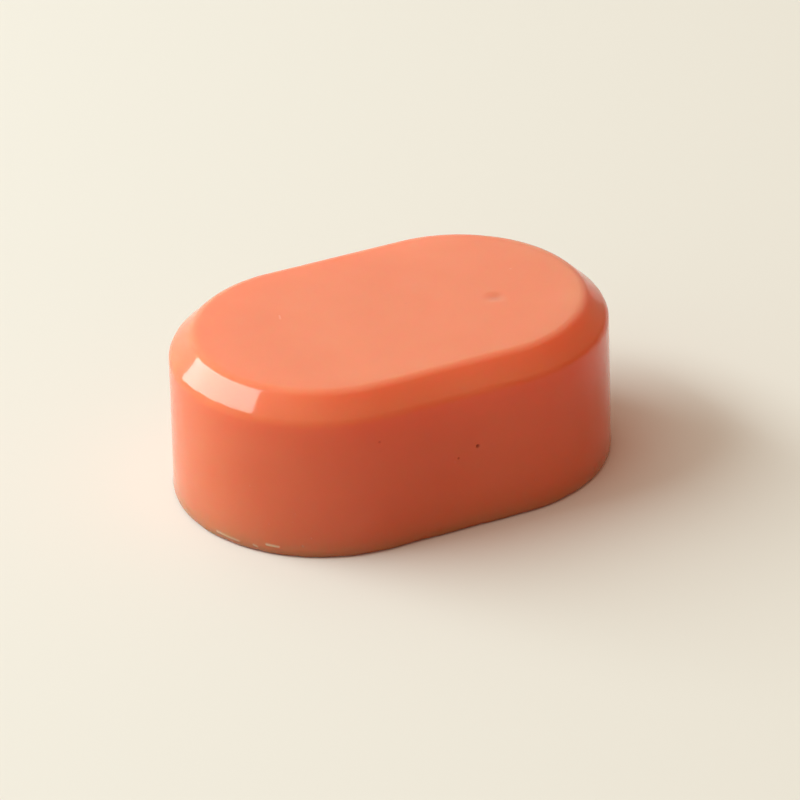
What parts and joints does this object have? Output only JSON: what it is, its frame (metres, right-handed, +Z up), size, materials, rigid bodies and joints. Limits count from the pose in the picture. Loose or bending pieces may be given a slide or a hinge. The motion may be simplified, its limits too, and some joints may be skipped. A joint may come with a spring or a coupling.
{
  "type": "bar of soap",
  "caption": "Obround bar of cast glycerine soap, glossy and translucent, with a bevelled top edge, upright walls and a flat base to rest on.",
  "frame": {"origin": "middle of the base", "axes": "+X along the bar, +Y across it, +Z up from the base to the bevelled top"},
  "size_m": [0.08, 0.0544, 0.0304],
  "materials": {
    "soap": "smooth translucent coral soap, glossy, with small bubble pits in the walls"
  },
  "bodies": {
    "root": {"soap_bar": "soap"}
  },
  "joints": []
}
